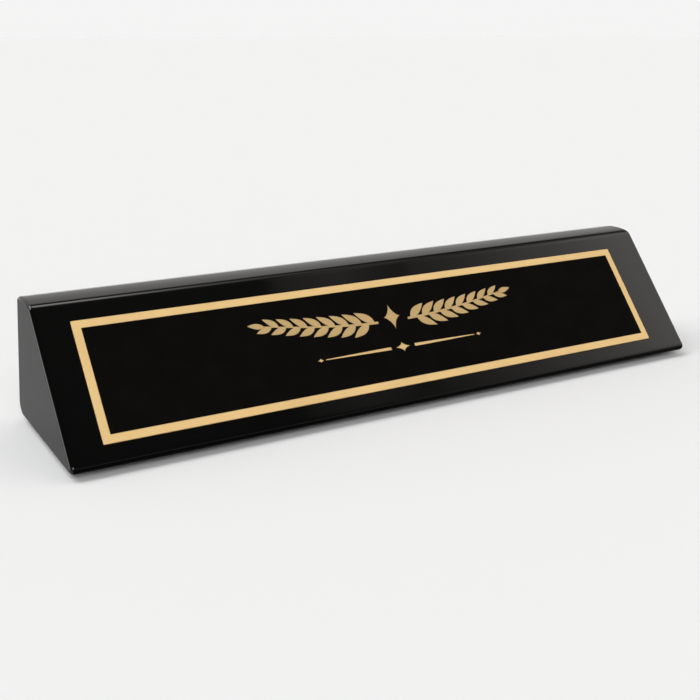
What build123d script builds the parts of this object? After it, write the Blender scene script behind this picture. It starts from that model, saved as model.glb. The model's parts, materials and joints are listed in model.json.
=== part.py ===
from build123d import *
import os
from math import cos, radians, sin, tan

# Desk name plate: a lacquered wedge block that carries a bordered plate on its slanted front.
# Millimetres, +X along the length, +Y from the front to the back, +Z up.
# The origin is on the desk, under the middle of the block's footprint.

# Wedge block, measured to the sharp corners that its rounds are cut from
block_length = 266.7
front_slope = 60.5  # along the slanted front, from the bottom edge to the crease
front_angle = 49.6  # degrees between the front and the desk
top_width = 15.6  # from the crease to the back top edge
top_crown = 0.95  # the top arches this much between them
back_angle = 73.0  # degrees between the back and the desk
front_edge_round = 1.8
crease_round = 5.0
back_top_round = 1.6
back_bottom_round = 4.7
end_round = 1.4  # round both end faces
round_limit_share = 0.9  # the end round stays under this share of the tightest round it runs along

# Brass plate on the front, with a black enamel field inside a bare border
plate_left_margin = 12.0  # from the block's left end to the plate
plate_right_margin = 18.0  # from the block's right end to the plate
plate_lower_margin = 9.0  # from the sharp bottom edge to the plate
plate_upper_margin = 7.6  # from the sharp crease to the plate
plate_thickness = 0.5
border_width = 2.9
enamel_thickness = 0.05
plate_film_thickness = 0.13  # adhesive under the plate
plate_film_setback = 0.5  # the adhesive stops this far inside the plate's edge

# Stick-on rubber feet under the four corners
foot_diameter = 10.0
foot_height = 2.0
foot_edge_round = 0.6
foot_end_inset = 20.0  # from the block's end to the foot's middle
foot_edge_inset = 14.5  # from the edge of the underside's flat to the foot's middle
foot_film_thickness = 0.15  # adhesive on the foot
foot_film_setback = 0.3  # the adhesive stops this far inside the foot's rim


def tangent_length(radius, inside_angle):
    # From a sharp corner to where a round of this radius leaves the side
    return radius / tan(radians(inside_angle) / 2)


# Profile of the block: y from the sharp front edge towards the back, z from the underside up
block_height = front_slope * sin(radians(front_angle))
crease_y = front_slope * cos(radians(front_angle))
back_top_y = crease_y + top_width
block_depth = back_top_y + block_height / tan(radians(back_angle))

# How far the two bottom rounds reach along the underside
front_tangent = tangent_length(front_edge_round, front_angle)
back_tangent = tangent_length(back_bottom_round, back_angle)

# Middle of the footprint, between the foremost and rearmost points of the two bottom rounds
front_reach = front_tangent - front_edge_round
back_reach = block_depth - back_tangent + back_bottom_round
footprint_middle = (front_reach + back_reach) / 2
underside = foot_height + foot_film_thickness

plate_length = block_length - plate_left_margin - plate_right_margin
plate_height = front_slope - plate_lower_margin - plate_upper_margin
plate_x = (plate_left_margin - plate_right_margin) / 2
plate_rise = plate_lower_margin + plate_height / 2  # up the front, to the plate's middle

foot_x = block_length / 2 - foot_end_inset
foot_front_y = front_tangent + foot_edge_inset - footprint_middle
foot_back_y = block_depth - back_tangent - foot_edge_inset - footprint_middle


def wedge_block():
    # The profile with its arched top and four rounds, carried along the length, then rounded at both ends
    front_edge = (0, 0)
    crease = (crease_y, block_height)
    top_middle = (crease_y + top_width / 2, block_height + top_crown)
    back_top = (back_top_y, block_height)
    back_bottom = (block_depth, 0)
    front = Line(front_edge, crease)
    top = ThreePointArc(crease, top_middle, back_top)
    back_and_bottom = Polyline(back_top, back_bottom, front_edge)
    profile = make_face(front.edges() + top.edges() + back_and_bottom.edges())
    corners = [
        (front_edge, front_edge_round),
        (crease, crease_round),
        (back_top, back_top_round),
        (back_bottom, back_bottom_round),
    ]
    for point, radius in corners:
        corner = profile.vertices().sort_by_distance(point)[0]
        profile = fillet(corner, radius)
    standing = Plane.YZ.offset(-block_length / 2)
    block = extrude(standing * profile, amount=block_length)
    tightest = min(radius for point, radius in corners)
    rim = block.faces().filter_by(Axis.X).edges()
    block = fillet(rim, min(end_round, round_limit_share * tightest))
    return Pos(0, -footprint_middle, underside) * block


def front_plane(height):
    # Parallel to the front, this far out from it, with its middle over the plate's middle
    slope = Vector(0, cos(radians(front_angle)), sin(radians(front_angle)))
    outward = Vector(0, -sin(radians(front_angle)), cos(radians(front_angle)))
    start = Vector(plate_x, -footprint_middle, underside)
    return Plane(start + slope * plate_rise + outward * height, x_dir=(1, 0, 0), z_dir=outward)


def front_sheet(setback, height, thickness):
    # A flat sheet on the front, its edges this far inside the plate's
    outline = Rectangle(plate_length - 2 * setback, plate_height - 2 * setback)
    return extrude(front_plane(height) * outline, amount=thickness)


def foot(x, y):
    # A rubber disc that stands on the desk on its rounded lower rim
    disc = extrude(Pos(x, y, 0) * Circle(foot_diameter / 2), amount=foot_height)
    lower_rim = disc.faces().sort_by(Axis.Z)[0].edges()
    return fillet(lower_rim, foot_edge_round)


def foot_adhesive(x, y):
    outline = Circle(foot_diameter / 2 - foot_film_setback)
    return extrude(Pos(x, y, foot_height) * outline, amount=foot_film_thickness)


nodes = {
    "wedge_block": wedge_block(),
    "plate_adhesive": front_sheet(plate_film_setback, 0, plate_film_thickness),
    "brass_plate": front_sheet(0, plate_film_thickness, plate_thickness),
    "black_field": front_sheet(border_width, plate_film_thickness + plate_thickness, enamel_thickness),
}
for row, y in (("front", foot_front_y), ("back", foot_back_y)):
    for side, x in (("left", -foot_x), ("right", foot_x)):
        nodes[f"foot_{row}_{side}"] = foot(x, y)
        nodes[f"foot_adhesive_{row}_{side}"] = foot_adhesive(x, y)

os.makedirs("parts", exist_ok=True)
for name, solid in nodes.items():
    export_step(solid, f"parts/{name}.step")
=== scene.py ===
import bpy
import json
import math
import numpy as np
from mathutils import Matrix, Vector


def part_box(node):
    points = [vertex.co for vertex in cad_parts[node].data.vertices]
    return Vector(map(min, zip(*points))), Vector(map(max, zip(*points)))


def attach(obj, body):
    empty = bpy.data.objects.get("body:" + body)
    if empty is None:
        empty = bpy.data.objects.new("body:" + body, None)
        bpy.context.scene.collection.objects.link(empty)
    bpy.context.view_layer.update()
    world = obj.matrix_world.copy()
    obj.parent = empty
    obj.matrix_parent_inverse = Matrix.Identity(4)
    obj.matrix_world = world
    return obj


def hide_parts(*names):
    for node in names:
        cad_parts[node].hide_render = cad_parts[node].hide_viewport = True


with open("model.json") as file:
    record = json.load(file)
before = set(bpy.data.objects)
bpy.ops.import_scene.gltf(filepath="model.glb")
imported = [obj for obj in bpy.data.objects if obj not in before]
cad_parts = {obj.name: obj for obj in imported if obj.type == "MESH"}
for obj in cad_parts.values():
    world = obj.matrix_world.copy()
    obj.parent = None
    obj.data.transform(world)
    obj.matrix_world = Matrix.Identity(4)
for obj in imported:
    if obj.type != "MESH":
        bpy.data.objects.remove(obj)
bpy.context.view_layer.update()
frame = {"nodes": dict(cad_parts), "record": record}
print("frame loaded,", len(frame["nodes"]), "nodes")

# directions of the room, and of the slanted front from its label mount
label = next(mount for mount in frame["record"]["mounts"] if mount["name"] == "label_field")
labelMiddle = np.array(label["pos_m"])
lengthwise = np.array([1.0, 0.0, 0.0])
backwards = np.array([0.0, 1.0, 0.0])
upwards = np.array([0.0, 0.0, 1.0])
outward = np.array(label["axis"])
upSlope = np.cross(outward, lengthwise)

touchGap = 1e-7  # metres; ends of two arcs that are nearer than this meet


# lowest and highest place of a node's corners along an axis
def reach(node, axis):
    mesh = frame["nodes"][node].data
    corners = np.empty(len(mesh.vertices) * 3)
    mesh.vertices.foreach_get("co", corners)
    places = corners.reshape(-1, 3) @ axis
    return places.min(), places.max()


# a mesh as a smooth piece on the body, with its material, and with the CAD nodes that it stands in for hidden
def putInScene(name, mesh, material, nodes):
    piece = bpy.data.objects.new(name, mesh)
    bpy.context.scene.collection.objects.link(piece)
    mesh.materials.append(material)
    mesh.polygons.foreach_set("use_smooth", np.ones(len(mesh.polygons), dtype=bool))
    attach(piece, "root")
    if nodes:
        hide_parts(*nodes)
    return piece


# An outline of arcs and the straight sides between them, anticlockwise: its places, and the normals there.
# An arc is (centre, radius, first angle, last angle). Two arcs that touch have no side between them.
def joinArcs(arcs, arcSteps, sideShares):
    places, normals = [], []
    share = np.asarray(sideShares)[:, None]
    for arc, nextArc in zip(arcs, arcs[1:] + arcs[:1]):
        centre, radius, first, last = arc
        nextCentre, nextRadius, nextFirst, _ = nextArc
        angle = np.linspace(first, last, arcSteps + 1)
        normal = np.stack([np.cos(angle), np.sin(angle)], axis=1)
        place = centre + radius * normal
        side = nextCentre + nextRadius * np.array([math.cos(nextFirst), math.sin(nextFirst)]) - place[-1]
        touching = np.linalg.norm(side) < touchGap
        places += [place[:-1]] if touching else [place, place[-1] + share * side]
        normals += [normal[:-1]] if touching else [normal, np.repeat(normal[-1:], len(share), axis=0)]
    return np.concatenate(places), np.concatenate(normals)


# the arcs that round a rectangle's four corners
def rectangleArcs(left, right, bottom, top, radius):
    quarter = math.pi / 2
    centres = [(left, bottom), (right, bottom), (right, top), (left, top)]
    inwards = [(1, 1), (-1, 1), (-1, -1), (1, -1)]
    return [(np.array(centre) + radius * np.array(inward), radius, (turn - 2) * quarter, (turn - 1) * quarter)
            for turn, (centre, inward) in enumerate(zip(centres, inwards))]


# Stations (place, inset, shrink) of a quarter circle that turns from an end face into the body: the place
# goes by one less the sine of the turn, the inset by one less its cosine.
def roundStations(endPlace, inwardSign, radius, steps):
    turn = np.linspace(math.pi / 2, 0, steps + 1)
    place = endPlace + inwardSign * radius * (1 - np.sin(turn))
    return list(zip(place, radius * (1 - np.cos(turn)), np.ones(steps + 1)))


# A closed surface of two parameters: round an outline, and from station to station along the last axis.
# Each place of a ring lies inside the outline by the station's inset, along the outline's normal.
# A station's shrink draws its whole ring towards the outline's middle, and the first and last rings
# close on a point there.
def carryOutline(name, outline, stations, axes):
    places, normals = outline
    along, inset, shrink = (np.asarray(row, dtype=float) for row in zip(*stations))
    rings = places[None] - inset[:, None, None] * normals[None]
    middle = (places.min(axis=0) + places.max(axis=0)) / 2
    rings = middle + shrink[:, None, None] * (rings - middle)
    axisU, axisV, axisW = axes
    flat = rings[..., :1] * axisU + rings[..., 1:] * axisV
    points = flat + along[:, None, None] * axisW
    poles = middle[0] * axisU + middle[1] * axisV + along[[0, -1]][:, None] * axisW
    return meshOf(name, closedShells(points[None], poles[None]))


# Shells of the same make: quads between neighbouring rings, and a fan of triangles from each end ring
# to its pole. Points are by shell, ring and place in the ring, anticlockwise as seen from the last ring.
def closedShells(points, poles):
    shellCount, ringCount, ringSize = points.shape[:3]
    index = np.arange(ringCount * ringSize).reshape(ringCount, ringSize)
    after = np.roll(index, -1, axis=1)
    quads = np.stack([index[:-1], after[:-1], after[1:], index[1:]], axis=-1).reshape(-1, 4)
    firstPole = np.full(ringSize, ringCount * ringSize)
    firstFan = np.stack([after[0], index[0], firstPole], axis=-1)
    lastFan = np.stack([index[-1], after[-1], firstPole + 1], axis=-1)
    fans = np.vstack([firstFan, lastFan])
    vertices = np.concatenate([points.reshape(shellCount, -1, 3), poles], axis=1)
    start = vertices.shape[1] * np.arange(shellCount)[:, None, None]
    return vertices.reshape(-1, 3), (quads + start).reshape(-1, 4), (fans + start).reshape(-1, 3)


# one mesh of several groups of closed shells
def meshOf(name, *groups):
    starts = np.cumsum([0] + [len(vertices) for vertices, quads, fans in groups])
    faces = []
    for start, (vertices, quads, fans) in zip(starts, groups):
        faces += (quads + start).tolist() + (fans + start).tolist()
    mesh = bpy.data.meshes.new(name)
    mesh.from_pydata(np.vstack([vertices for vertices, quads, fans in groups]).tolist(), [], faces)
    mesh.update()
    return mesh


# Node helpers for the finishes and the surroundings

toneStops = (0.3, 0.7)  # of a grain's range, where its dark and its light tone are reached


# links a node's output to a socket, or sets the socket to a plain value
def feed(tree, socket, value):
    if isinstance(value, bpy.types.NodeSocket):
        tree.links.new(value, socket)
    else:
        socket.default_value = value


def mathStep(tree, operation, value, other=None):
    step = tree.nodes.new("ShaderNodeMath")
    step.operation = operation
    feed(tree, step.inputs[0], value)
    if other is not None:
        feed(tree, step.inputs[1], other)
    return step.outputs["Value"]


# carries a value from one range to another, and holds it at their ends
def remap(tree, value, start=(0, 1), end=(0, 1)):
    fit = tree.nodes.new("ShaderNodeMapRange")
    sockets = ("From Min", "From Max", "To Min", "To Max")
    for socketName, number in zip(sockets, (*start, *end)):
        fit.inputs[socketName].default_value = number
    feed(tree, fit.inputs["Value"], value)
    return fit.outputs["Result"]


# from a varying value to a plain one, by a mask
def blend(tree, mask, value, plain):
    mix = tree.nodes.new("ShaderNodeMix")
    feed(tree, mix.inputs["Factor"], mask)
    feed(tree, mix.inputs["A"], value)
    feed(tree, mix.inputs["B"], plain)
    return mix.outputs["Result"]


def splitVector(tree, vector):
    parts = tree.nodes.new("ShaderNodeSeparateXYZ")
    feed(tree, parts.inputs["Vector"], vector)
    return parts.outputs["X"], parts.outputs["Y"], parts.outputs["Z"]


# noise on the object's own coordinates, stretched per axis, as a value from 0 to 1
def grain(tree, scale, detail, stretch=(1, 1, 1)):
    coordinates = tree.nodes.new("ShaderNodeTexCoord")
    mapping = tree.nodes.new("ShaderNodeMapping")
    mapping.inputs["Scale"].default_value = stretch
    noise = tree.nodes.new("ShaderNodeTexNoise")
    noise.inputs["Scale"].default_value = scale
    noise.inputs["Detail"].default_value = detail
    feed(tree, mapping.inputs["Vector"], coordinates.outputs["Object"])
    feed(tree, noise.inputs["Vector"], mapping.outputs["Vector"])
    return noise.outputs["Fac"]


# a colour by a value: each colour is reached at its own place, and they blend in between
def colourRamp(tree, value, places, colours):
    ramp = tree.nodes.new("ShaderNodeValToRGB")
    stops = ramp.color_ramp.elements
    while len(stops) < len(places):
        stops.new(1.0)
    for stop, place, colour in zip(stops, places, colours):
        stop.position = place
        stop.color = (*colour, 1)
    feed(tree, ramp.inputs["Fac"], value)
    return ramp.outputs["Color"]


def newMaterial(name):
    material = bpy.data.materials.new(name)
    material.use_nodes = True
    return material, material.node_tree, material.node_tree.nodes["Principled BSDF"]


# A finish from a look: two tones, a roughness and a relief, each by its own grain, which is waves per metre,
# detail and a stretch per axis. Values under "plain" are the same all over.
def newFinish(name, look, shade=1.0):
    material, tree, shader = newMaterial(name)
    tones = [tuple(shade * part for part in look[tone]) for tone in ("dark", "light")]
    colour = colourRamp(tree, grain(tree, *look["toneGrain"]), toneStops, tones)
    feed(tree, shader.inputs["Base Color"], colour)
    roughness = remap(tree, grain(tree, *look["roughGrain"]), end=look["roughness"])
    feed(tree, shader.inputs["Roughness"], roughness)
    bump = tree.nodes.new("ShaderNodeBump")
    bump.inputs["Distance"].default_value = look["reliefDepth"]
    feed(tree, bump.inputs["Height"], grain(tree, *look["reliefGrain"]))
    feed(tree, shader.inputs["Normal"], bump.outputs["Normal"])
    for socketName, value in look["plain"].items():
        shader.inputs[socketName].default_value = value
    return material


# Wedge block

wedge = {
    "backAngle": 73.0,  # degrees between the back and the desk
    "topCrown": 0.00095,  # rise of the arched top
    "frontEdgeRound": 0.0018,
    "creaseRound": 0.0050,
    "backTopRound": 0.0016,
    "backBottomRound": 0.0047,
    "endRound": 0.0014,
    "arcSteps": 24,
    "endSteps": 12,
    "sideShares": (0.015, 0.12, 0.3, 0.5, 0.7, 0.88, 0.985),
    "bodyShares": (0.002, 0.05, 0.2, 0.4, 0.6, 0.8, 0.95, 0.998),
    "capShrinks": (0.3, 0.7, 0.97),
    "lacquer": {
        "dark": (0.0005, 0.0005, 0.0005),
        "light": (0.0011, 0.0010, 0.0010),
        "toneGrain": (40, 2),
        "roughness": (0.03, 0.055),  # polished front, top and back
        "roughGrain": (90, 3, (0.25, 1, 1)),
        "reliefGrain": (260, 1),  # faint orange peel
        "reliefDepth": 0.000004,
        "satin": 0.55,  # roughness of both ends and the underside, sprayed but not polished
        "undersideFade": (0.00008, 0.00002),  # above the underside, where its satin fades in
        "endFade": (0.0002, 0.00003),  # inside the ends, where their satin fades in
        "worn": 0.35,  # roughness of the long lower edges, dulled as painted shade
        "wornFade": (0.0026, 0.0020),  # above the underside, where the painted shade fades in
        "wornEnds": (0.0002, 0.0012),  # inside the ends, where the painted shade starts
        "specularLevel": (0.5, 0.02),  # polished, and lowered on the long lower edges as painted shade
        "plain": {"IOR": 1.5},
    },
}


# The profile's arcs (y, z), anticlockwise from the bottom front edge. Its sharp corners follow from
# the CAD box and the two angles. A round on the top lies on its side's line moved in by the round's
# radius, where the arch's circle less that radius meets it.
def wedgeArcs():
    low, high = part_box("wedge_block")
    frontAngle = math.atan2(-outward[1], outward[2])
    backAngle = math.radians(wedge["backAngle"])
    frontRound, backRound, crown = wedge["frontEdgeRound"], wedge["backBottomRound"], wedge["topCrown"]
    frontCorner = np.array([low.y + frontRound - frontRound / math.tan(frontAngle / 2), low.z])
    backCorner = np.array([high.y - backRound + backRound / math.tan(backAngle / 2), low.z])
    upFront = np.array([math.cos(frontAngle), math.sin(frontAngle)])
    upBack = np.array([-math.cos(backAngle), math.sin(backAngle)])
    height = high.z - low.z - crown
    crease = frontCorner + upFront * height / upFront[1]
    backTop = backCorner + upBack * height / upBack[1]
    halfTop = (backTop[0] - crease[0]) / 2
    archRadius = (halfTop ** 2 + crown ** 2) / (2 * crown)
    archCentre = np.array([crease[0] + halfTop, high.z - archRadius])

    # centre of a round between a side and the arch, and the angle at which it leaves the arch
    def topRound(corner, upSide, normal, radius):
        start = corner - radius * normal - archCentre
        along = -start @ upSide
        along += math.sqrt(along ** 2 - start @ start + (archRadius - radius) ** 2)
        towards = start + along * upSide
        return archCentre + towards, math.atan2(towards[1], towards[0])

    frontNormal = np.array([-upFront[1], upFront[0]])
    backNormal = np.array([upBack[1], -upBack[0]])
    creaseCentre, creaseTurn = topRound(frontCorner, upFront, frontNormal, wedge["creaseRound"])
    backCentre, backTurn = topRound(backCorner, upBack, backNormal, wedge["backTopRound"])
    frontTurn, rearTurn = math.pi / 2 + frontAngle, math.pi / 2 - backAngle
    return [
        (np.array([low.y + frontRound, low.z + frontRound]), frontRound, frontTurn, 1.5 * math.pi),
        (np.array([high.y - backRound, low.z + backRound]), backRound, -0.5 * math.pi, rearTurn),
        (backCentre, wedge["backTopRound"], rearTurn, backTurn),
        (archCentre, archRadius, backTurn, creaseTurn),
        (creaseCentre, wedge["creaseRound"], creaseTurn, frontTurn),
    ]


# gloss lacquer, satin where it isn't polished, and rougher with far less specular along the long lower edges
# as painted shade
def pianoLacquer(underside, halfLength):
    look = wedge["lacquer"]
    material = newFinish("pianoLacquer", look)
    tree = material.node_tree
    shader = tree.nodes["Principled BSDF"]
    across, _, height = splitVector(tree, tree.nodes.new("ShaderNodeTexCoord").outputs["Object"])
    endwise = mathStep(tree, "ABSOLUTE", across)
    below = remap(tree, height, [underside + rise for rise in look["undersideFade"]])
    ends = remap(tree, endwise, [halfLength - inset for inset in look["endFade"]])
    # the long lower edges get more roughness and much less specular: painted shade that darkens the band
    # along the bottom
    lowEdge = remap(tree, height, [underside + rise for rise in look["wornFade"]])
    inside = remap(tree, endwise, [halfLength - inset for inset in look["wornEnds"]])
    worn = mathStep(tree, "MULTIPLY", lowEdge, inside)
    polished = shader.inputs["Roughness"].links[0].from_socket
    roughness = blend(tree, worn, polished, look["worn"])
    roughness = blend(tree, mathStep(tree, "MAXIMUM", below, ends), roughness, look["satin"])
    feed(tree, shader.inputs["Roughness"], roughness)
    feed(tree, shader.inputs["Specular IOR Level"], remap(tree, worn, end=look["specularLevel"]))
    return material


# the profile carried along the length, drawn in by quarter circles at both ends and closed by flat caps
def makeWedge():
    low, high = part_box("wedge_block")
    endRound = wedge["endRound"]
    leftCap = [(low.x, endRound, shrink) for shrink in wedge["capShrinks"]]
    rightCap = [(high.x, endRound, shrink) for shrink in reversed(wedge["capShrinks"])]
    leftRound = roundStations(low.x, 1, endRound, wedge["endSteps"])
    rightRound = roundStations(high.x, -1, endRound, wedge["endSteps"])[::-1]
    bodyLength = high.x - low.x - 2 * endRound
    body = [(low.x + endRound + share * bodyLength, 0, 1) for share in wedge["bodyShares"]]
    stations = leftCap + leftRound + body + rightRound + rightCap
    outline = joinArcs(wedgeArcs(), wedge["arcSteps"], wedge["sideShares"])
    mesh = carryOutline("lacqueredWedge", outline, stations, (backwards, upwards, lengthwise))
    return putInScene("lacqueredWedge", mesh, pianoLacquer(low.z, high.x),
                      ["wedge_block"])


makeWedge()
print("wedge block made")

# Plate on the front: a bare metal sheet, and the black enamel on it inside the border

plate = {
    "cornerRound": 0.0003,
    "edgeRound": 0.00012,
    "enamelCornerRound": 0.0002,
    "enamelEdgeRound": 0.00002,
    "arcSteps": 6,
    "edgeSteps": 4,
    "sideShares": (0.01, 0.25, 0.5, 0.75, 0.99),
    "capShrinks": (0.3, 0.7, 0.98),
    "gold": {
        "dark": (0.80, 0.545, 0.238),
        "light": (0.86, 0.597, 0.268),
        "toneGrain": (60, 4),
        "roughness": (0.52, 0.64),
        "roughGrain": (900, 3, (0.04, 1, 1)),  # fine lines along the length
        "reliefGrain": (900, 3, (0.04, 1, 1)),
        "reliefDepth": 0.000004,
        "plain": {"Metallic": 0.06, "Specular IOR Level": 0.2},
    },
    "enamel": {
        "dark": (0.0036, 0.0034, 0.0030),
        "light": (0.0048, 0.0045, 0.0041),
        "toneGrain": (120, 3),
        "roughness": (0.45, 0.58),
        "roughGrain": (1500, 2),
        "reliefGrain": (2500, 2),
        "reliefDepth": 0.000003,
        "plain": {"Specular IOR Level": 0.008},
    },
}


# A flat sheet that fills a CAD sheet's place on the front: a rectangle with rounded corners, carried out of
# the front and drawn in by a quarter circle at its upper edge
def makeSheet(name, node, cornerRound, edgeRound, material):
    left, right = reach(node, lengthwise)
    bottom, top = reach(node, upSlope)
    back, face = reach(node, outward)
    arcs = rectangleArcs(left, right, bottom, top, cornerRound)
    backCap = [(back, 0, shrink) for shrink in plate["capShrinks"]]
    faceCap = [(face, edgeRound, shrink) for shrink in reversed(plate["capShrinks"])]
    rim = [(back, 0, 1)] + roundStations(face, -1, edgeRound, plate["edgeSteps"])[::-1]
    outline = joinArcs(arcs, plate["arcSteps"], plate["sideShares"])
    mesh = carryOutline(name, outline, backCap + rim + faceCap, (lengthwise, upSlope, outward))
    return putInScene(name, mesh, material, [node])


makeSheet("borderPlate", "brass_plate", plate["cornerRound"], plate["edgeRound"],
          newFinish("satinGold", plate["gold"]))
makeSheet("enamelField", "black_field", plate["enamelCornerRound"], plate["enamelEdgeRound"],
          newFinish("blackEnamel", plate["enamel"]))
print("plate made")

# Gilt ornament on the enamel: two leafy sprays above, a swelled rule below.
# Places on it are from the plate's middle: along the length, up the slope.

ornament = {
    "sink": 0.00001,  # into the enamel
    "proud": 0.00003,  # above it
    "wallShare": 0.7,  # of the height, where a side wall ends and its bevel starts
    "shapeFace": 0.94,  # flat face of a shape, as a share of its outline
    "shapeInner": 0.5,  # ring inside a shape that keeps its triangles even
    "ribbonProud": 0.9,  # of a shape's height, so that leaves lie over their stem
    "ribbonFace": 0.8,  # flat face of a ribbon, as a share of its width
    "outlineSteps": 48,
    "spray": {
        "shade": 0.68,  # of the border's gold
        "start": (0.0066, 0.0044),
        "span": 0.0455,
        "rise": 0.0052,
        "riseCurve": 1.6,
        "stemHalfWidth": (0.00048, 0.00018),
        "stemSteps": 40,
        "leafPairs": 8,
        "leafShares": (0.03, 0.94),  # of the stem, where its first and last leaf stand
        "headingStep": 0.01,  # of the stem, over which its direction is taken
        "leafLength": (0.0092, 0.0064),
        "leafWidth": 0.34,  # of its length
        "leafBelly": 0.3,  # how much fuller a leaf is near its base
        "leafAngle": (40, 30),  # degrees off the stem
        "leafBend": 0.10,
    },
    "sprayLozenge": {"half": (0.0036, 0.0052), "place": (0, 0.0060)},
    "rule": {
        "shade": 0.89,
        "drop": -0.0067,
        "start": 0.0052,
        "end": 0.0330,
        "halfWidth": (0.00058, 0.00012),
        "swell": 0.8,  # power by which it thins outwards
        "steps": 24,
    },
    "ruleLozenges": (
        {"half": (0.0032, 0.0019), "place": (0, -0.0067)},
        {"half": (0.0013, 0.0008), "place": (0.0350, -0.0067)},
        {"half": (0.0013, 0.0008), "place": (-0.0350, -0.0067)},
    ),
}


# from the first value to the second, by a share
def between(values, share):
    return values[0] + (values[1] - values[0]) * share


# places on the enamel and out of its face by a height
def onEnamel(flat, height):
    u, v = flat[..., :1], flat[..., 1:]
    w = np.broadcast_to(height, flat.shape[:-1])[..., None]
    return labelMiddle + u * lengthwise + v * upSlope + w * outward


# flat printed shapes from star-shaped outlines (shape, place, uv): a wall from the enamel up, a bevel and
# a face on it, all rings of the outline shrunk towards its middle
def printedShapes(outlines):
    middle = outlines.mean(axis=1, keepdims=True)
    inner = ornament["shapeInner"]
    shrink = np.array([inner, 1, 1, ornament["shapeFace"], inner])
    low, high = -ornament["sink"], ornament["proud"]
    height = np.array([low, low, ornament["wallShare"] * high, high, high])
    rings = middle[:, None] + shrink[:, None, None] * (outlines - middle)[:, None]
    poles = onEnamel(np.repeat(middle, 2, axis=1), np.array([low, high]))
    return closedShells(onEnamel(rings, height[:, None]), poles)


# a flat printed ribbon: a low six-sided section, as wide as given at each place, carried along a path
def printedRibbon(path, halfWidth):
    tangent = np.gradient(path, axis=0)
    tangent /= np.linalg.norm(tangent, axis=1)[:, None]
    normal = np.stack([-tangent[:, 1], tangent[:, 0]], axis=1)
    face = ornament["ribbonFace"]
    low, high = -ornament["sink"], ornament["ribbonProud"] * ornament["proud"]
    wall = ornament["wallShare"] * high
    side = np.array([-1, 1, 1, face, -face, -1])
    height = np.array([low, low, wall, high, high, wall])
    flat = path[:, None] + (halfWidth[:, None] * side)[..., None] * normal[:, None]
    poles = onEnamel(path[[0, -1]], high / 2)
    return closedShells(onEnamel(flat, height)[None], poles[None])


# outlines of leaves: a lens of sine-squared half width, fuller near its base, bent along a parabola
# and turned
def leafOutlines(base, heading, length, bend):
    spray = ornament["spray"]
    angle = np.linspace(0, 2 * math.pi, ornament["outlineSteps"], endpoint=False)
    along = (1 + np.cos(angle)) / 2
    lens = np.sign(np.sin(angle)) * np.sin(angle) ** 2 * (1 - spray["leafBelly"] * np.cos(angle)) / 2
    x = length[:, None] * along
    y = length[:, None] * (spray["leafWidth"] * lens + bend[:, None] * along ** 2)
    cosine, sine = np.cos(heading)[:, None], np.sin(heading)[:, None]
    return base[:, None] + np.stack([x * cosine - y * sine, x * sine + y * cosine], axis=-1)


# outlines of lozenges with hollow sides: cosine and sine cubed
def lozengeOutlines(lozenges):
    angle = np.linspace(0, 2 * math.pi, ornament["outlineSteps"], endpoint=False)
    half = np.array([lozenge["half"] for lozenge in lozenges])
    place = np.array([lozenge["place"] for lozenge in lozenges])
    star = np.stack([np.cos(angle) ** 3, np.sin(angle) ** 3], axis=-1)
    return place[:, None] + half[:, None] * star


# path of one spray's stem: along the length it goes evenly, up the slope by a power curve
def stemPath(share, side):
    spray = ornament["spray"]
    return np.stack([
        side * (spray["start"][0] + spray["span"] * share),
        spray["start"][1] + spray["rise"] * share ** spray["riseCurve"],
    ], axis=-1)


# a stem, with leaves in turn on its upper and lower side and one at its tip
def sprayShells(side):
    spray = ornament["spray"]
    stemShare = np.linspace(0, 1, spray["stemSteps"])
    stem = printedRibbon(stemPath(stemShare, side), between(spray["stemHalfWidth"], stemShare))
    share = np.append(np.linspace(*spray["leafShares"], 2 * spray["leafPairs"]), 1.0)
    turn = np.append(np.tile([1.0, -1.0], spray["leafPairs"]), 0.0)
    base = stemPath(share, side)
    ahead = stemPath(share + spray["headingStep"], side) - base
    stemHeading = np.arctan2(ahead[:, 1], ahead[:, 0])
    angle = np.radians(between(spray["leafAngle"], share))
    length = between(spray["leafLength"], share)
    leaves = leafOutlines(base, stemHeading + side * turn * angle, length, -side * turn * spray["leafBend"])
    return [stem, printedShapes(leaves)]


# two ribbons that thin outwards by a power curve, with a lozenge between them and one at each end
def ruleShells():
    rule = ornament["rule"]
    share = np.linspace(0, 1, rule["steps"])
    halfWidth = between(rule["halfWidth"], 1 - (1 - share) ** rule["swell"])
    along = between((rule["start"], rule["end"]), share)
    shells = [printedShapes(lozengeOutlines(ornament["ruleLozenges"]))]
    for side in (1, -1):
        path = np.stack([side * along, np.full(len(share), rule["drop"])], axis=-1)
        shells.append(printedRibbon(path, halfWidth))
    return shells


def makeOrnament(name, shells, shade):
    gilt = newFinish(name, plate["gold"], shade)
    return putInScene(name, meshOf(name, *shells), gilt, [])


sprayLozenge = printedShapes(lozengeOutlines([ornament["sprayLozenge"]]))
makeOrnament("giltSprays", sprayShells(1) + sprayShells(-1) + [sprayLozenge], ornament["spray"]["shade"])
makeOrnament("giltRule", ruleShells(), ornament["rule"]["shade"])
print("ornament made")

# Feet: rubber discs with a rounded lower rim, and the adhesive films, which keep their CAD shape

foot = {
    "lowerRound": 0.0006,
    "upperRound": 0.00015,
    "turnSteps": 64,
    "edgeSteps": 6,
    "capShares": (0.3, 0.7, 0.96),
    "rubber": {
        "dark": (0.014, 0.014, 0.014),
        "light": (0.026, 0.026, 0.026),
        "toneGrain": (700, 4),
        "roughness": (0.6, 0.82),
        "roughGrain": (1800, 3),
        "reliefGrain": (3000, 3),
        "reliefDepth": 0.00002,
        "plain": {"Specular IOR Level": 0.35},
    },
}

film = {
    "adhesive": {
        "dark": (0.50, 0.46, 0.38),
        "light": (0.62, 0.58, 0.50),
        "toneGrain": (500, 3),
        "roughness": (0.35, 0.55),
        "roughGrain": (900, 2),
        "reliefGrain": (1500, 2),
        "reliefDepth": 0.00001,
        "plain": {},
    },
}


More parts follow.
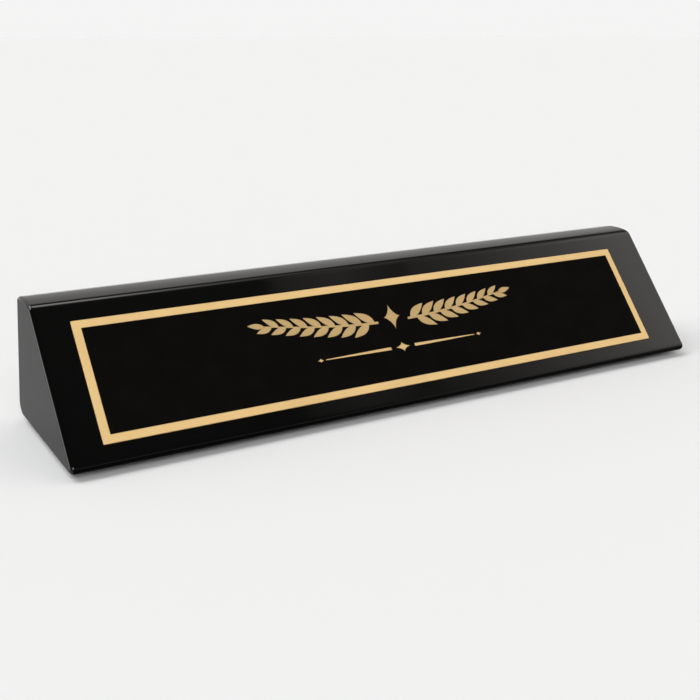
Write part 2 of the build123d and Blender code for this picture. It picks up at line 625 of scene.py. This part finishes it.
# a half profile of radius and height, turned round the foot's upright axis
def makeFoot(node, material):
    low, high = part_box(node)
    radius = (high.x - low.x) / 2
    rim = roundStations(low.z, 1, foot["lowerRound"], foot["edgeSteps"])
    rim += roundStations(high.z, -1, foot["upperRound"], foot["edgeSteps"])[::-1]
    height, inset, _ = np.array(rim).T
    lower = [share * (radius - foot["lowerRound"]) for share in foot["capShares"]]
    upper = [share * (radius - foot["upperRound"]) for share in reversed(foot["capShares"])]
    radii = np.concatenate([lower, radius - inset, upper])
    heights = np.concatenate([np.full(len(lower), low.z), height, np.full(len(upper), high.z)])
    angle = np.linspace(0, 2 * math.pi, foot["turnSteps"], endpoint=False)
    middleX, middleY = (low.x + high.x) / 2, (low.y + high.y) / 2
    across = middleX + radii[:, None] * np.cos(angle)
    deep = middleY + radii[:, None] * np.sin(angle)
    points = np.stack([across, deep, np.broadcast_to(heights[:, None], across.shape)], axis=-1)
    poles = np.array([(middleX, middleY, low.z), (middleX, middleY, high.z)])
    name = "rubberFoot" + "".join(word.capitalize() for word in node.split("_")[1:])
    mesh = meshOf(name, closedShells(points[None], poles[None]))
    return putInScene(name, mesh, material, [node])


footRubber = newFinish("footRubber", foot["rubber"])
clearAdhesive = newFinish("clearAdhesive", film["adhesive"])
for node in sorted(frame["nodes"]):
    if "adhesive" in node:
        frame["nodes"][node].data.materials[0] = clearAdhesive
    elif node.startswith("foot"):
        makeFoot(node, footRubber)
print("feet and adhesive made")

# Camera at the photograph's viewing angle

camera = {
    "place": (-0.20595, -0.32856, 0.13289),
    "heading": 30.201,  # degrees from +Y towards +X
    "tilt": 17.045,  # degrees below the horizon
    "lens": 53.015,
    "sensor": 36.0,
    "clip": (0.01, 100),
}


def makeCamera():
    data = bpy.data.cameras.new("photoCamera")
    data.lens = camera["lens"]
    data.sensor_width = camera["sensor"]
    data.clip_start, data.clip_end = camera["clip"]
    eye = bpy.data.objects.new("photoCamera", data)
    eye.location = camera["place"]
    eye.rotation_euler = (math.radians(90 - camera["tilt"]), 0, math.radians(-camera["heading"]))
    bpy.context.scene.collection.objects.link(eye)
    bpy.context.scene.camera = eye


# Floor, lamps and surroundings

floorLook = {"half": 40.0, "colour": (0.895, 0.90, 0.91), "roughness": 0.9, "specularLevel": 0}


def makeFloor():
    half = floorLook["half"]
    mesh = bpy.data.meshes.new("studioFloor")
    corners = [(-half, -half, 0), (half, -half, 0), (half, half, 0), (-half, half, 0)]
    mesh.from_pydata(corners, [], [(0, 1, 2, 3)])
    material, tree, shader = newMaterial("paleFloor")
    shader.inputs["Base Color"].default_value = (*floorLook["colour"], 1)
    shader.inputs["Roughness"].default_value = floorLook["roughness"]
    shader.inputs["Specular IOR Level"].default_value = floorLook["specularLevel"]
    mesh.materials.append(material)
    floor = bpy.data.objects.new("studioFloor", mesh)
    bpy.context.scene.collection.objects.link(floor)


# soft suns: where each shines from, its strength and its angular width in degrees
suns = {
    "overhead": {"from": (-0.45, 0.25, 0.86), "strength": 1.4, "width": 40},
    "softKey": {"from": (-0.25, -0.80, 0.55), "strength": 1.29, "width": 36},
}


def makeSun(name, values):
    data = bpy.data.lights.new(name, "SUN")
    data.energy = values["strength"]
    data.angle = math.radians(values["width"])
    lamp = bpy.data.objects.new(name, data)
    start = np.array(values["from"]) / np.linalg.norm(values["from"])
    lamp.rotation_euler = (math.acos(start[2]), 0, math.atan2(start[0], -start[1]))
    bpy.context.scene.collection.objects.link(lamp)


lampTint = (1.0, 0.98, 0.95)
windowTint = (1.0, 0.965, 0.90)

# What the gloss mirrors. Heights are sines of the angle above the horizon, and sides are parts of +Y
# in a direction.
room = {
    "tint": (1.0, 0.985, 0.95),
    "dark": 0.06,
    # backdrop behind the object: brightness by height, and the sides between which it fades in
    "backdrop": {
        "heights": (0.035, 0.06, 0.15, 0.30, 0.45, 0.60, 0.80),
        "levels": (0.0, 0.40, 0.475, 0.553, 0.60, 0.73, 0.91),
        "fadeIn": (0.50, 0.64),
    },
    # pale band above the floor: the heights between which it ends, under the backdrop and on the open sides
    "horizon": {
        "level": 0.85,
        "heights": (0.06, 0.035),
        "openHeights": (0.18, 0.10),
        "openSide": (0.30, -0.10),
        "tint": (1.0, 1.0, 1.0),
    },
    # soft glows: where each lies, its level, the power of the cosine by which it fades, its cap, the heights
    # between which it fades in, and whether the edges below are cut into it
    "glows": {
        "overhead": {"towards": (0.20, 0.16, 0.97), "level": 4.2, "fade": 120, "cap": 4.2, "tint": lampTint},
        "besideIt": {"towards": (0.40, 0.17, 0.90), "level": 0.5, "fade": 70, "cap": 0.5, "tint": lampTint},
        "window": {"towards": (0.90, -0.07, 0.42), "level": 7.1, "fade": 23, "cap": 1.2, "tint": windowTint,
                   "above": (0.10, 0.40), "edged": True},
        "lowCorner": {"towards": (0.70, -0.59, 0.40), "level": 0.7, "fade": 60, "cap": 0.7,
                      "tint": windowTint},
        "ceiling": {"towards": (0.388, -0.216, 0.896), "level": 0.7, "fade": 25, "cap": 0.7,
                    "tint": windowTint, "edged": True},
        "farLeft": {"towards": (-0.90, 0.42, 0.12), "level": 4.2, "fade": 30, "cap": 3.0, "tint": lampTint},
    },
    # edges in the edged glows: rings round a direction, by the cosine to it, and the share of light at each
    "edges": {
        "towards": (0.867, -0.169, 0.468),
        "cosines": (0.8134, 0.8184, 0.852, 0.8815, 0.8865, 0.93),
        "shares": (0.06, 0.38, 0.66, 0.25, 0.49, 0.92),
    },
}


def shine(tree, tint, strength):
    light = tree.nodes.new("ShaderNodeBackground")
    light.inputs["Color"].default_value = (*tint, 1)
    feed(tree, light.inputs["Strength"], strength)
    return light.outputs["Background"]


def greyRamp(tree, value, places, levels):
    return colourRamp(tree, value, places, [(level, level, level) for level in levels])


# cosine of the angle between the direction looked in and another one
def cosineTo(tree, direction, towards):
    facing = tree.nodes.new("ShaderNodeVectorMath")
    facing.operation = "DOT_PRODUCT"
    facing.inputs[1].default_value = np.array(towards) / np.linalg.norm(towards)
    feed(tree, facing.inputs[0], direction)
    return facing.outputs["Value"]


def makeBackdrop(tree, side, height):
    values = room["backdrop"]
    behind = remap(tree, side, values["fadeIn"])
    level = greyRamp(tree, height, values["heights"], values["levels"])
    return shine(tree, room["tint"], mathStep(tree, "MULTIPLY", behind, level))


def makeHorizon(tree, side, height):
    values = room["horizon"]
    low = remap(tree, height, values["heights"])
    wide = remap(tree, height, values["openHeights"])
    wide = mathStep(tree, "MULTIPLY", wide, remap(tree, side, values["openSide"]))
    band = mathStep(tree, "MAXIMUM", low, wide)
    return shine(tree, values["tint"], mathStep(tree, "MULTIPLY", band, values["level"]))


# a glow of level times the fade power of the cosine to where it lies, up to its cap
def makeGlow(tree, direction, height, values):
    value = cosineTo(tree, direction, values["towards"])
    steps = {"MAXIMUM": 0, "POWER": values["fade"], "MULTIPLY": values["level"], "MINIMUM": values["cap"]}
    for operation, number in steps.items():
        value = mathStep(tree, operation, value, number)
    if "above" in values:
        value = mathStep(tree, "MULTIPLY", value, remap(tree, height, values["above"]))
    if "edged" in values:
        edges = room["edges"]
        across = cosineTo(tree, direction, edges["towards"])
        share = greyRamp(tree, across, edges["cosines"], edges["shares"])
        value = mathStep(tree, "MULTIPLY", value, share)
    return shine(tree, values["tint"], value)


def makeRoom():
    world = bpy.data.worlds.new("softRoom")
    bpy.context.scene.world = world
    world.use_nodes = True
    tree = world.node_tree
    tree.nodes.remove(tree.nodes["Background"])
    direction = tree.nodes.new("ShaderNodeTexCoord").outputs["Generated"]
    _, side, height = splitVector(tree, direction)
    light = shine(tree, room["tint"], room["dark"])
    others = [makeBackdrop(tree, side, height), makeHorizon(tree, side, height)]
    others += [makeGlow(tree, direction, height, values) for values in room["glows"].values()]
    for other in others:
        together = tree.nodes.new("ShaderNodeAddShader")
        feed(tree, together.inputs[0], light)
        feed(tree, together.inputs[1], other)
        light = together.outputs["Shader"]
    feed(tree, tree.nodes["World Output"].inputs["Surface"], light)


makeCamera()
makeFloor()
for sunName, sunValues in suns.items():
    makeSun(sunName, sunValues)
makeRoom()
bpy.context.scene.view_settings.view_transform = "Standard"
print("camera, floor and lights set")
